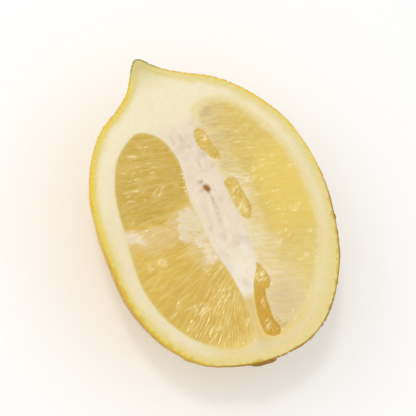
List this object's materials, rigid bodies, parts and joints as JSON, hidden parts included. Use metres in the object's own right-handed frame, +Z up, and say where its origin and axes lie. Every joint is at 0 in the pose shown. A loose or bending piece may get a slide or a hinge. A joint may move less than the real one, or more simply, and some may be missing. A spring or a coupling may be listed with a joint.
{
  "type": "lemon half",
  "caption": "Lemon cut lengthwise, lying on its round peel with the cut face up: rim of rind and pith, core, bare pulp on one side, torn segment skin on the other.",
  "frame": {"origin": "on the resting flat of the round back, under the middle of the outline", "axes": "+Z up out of the cut face, +Y along the fruit from its stem end to its nipple, +X to the side whose segment keeps its skin"},
  "size_m": [0.0584, 0.0808, 0.0286],
  "materials": {
    "rind": "lemon peel, waxy and finely pitted, satin with soft highlights, ochre in the pits and olive at the nipple",
    "pith": "cut white pith and core, spongy and dull, cream, yellower beside the rind",
    "pulp": "cut juice sacs, wet and translucent, amber yellow with pale walls between the sacs",
    "segment_skin": "thin damp skin over the pulp, pale yellow, with fine white fibres near the core",
    "stem": "dry brown stem button, rough and dull"
  },
  "bodies": {
    "root": {"lemon_half": "rind", "stem_button": "stem"}
  },
  "joints": []
}
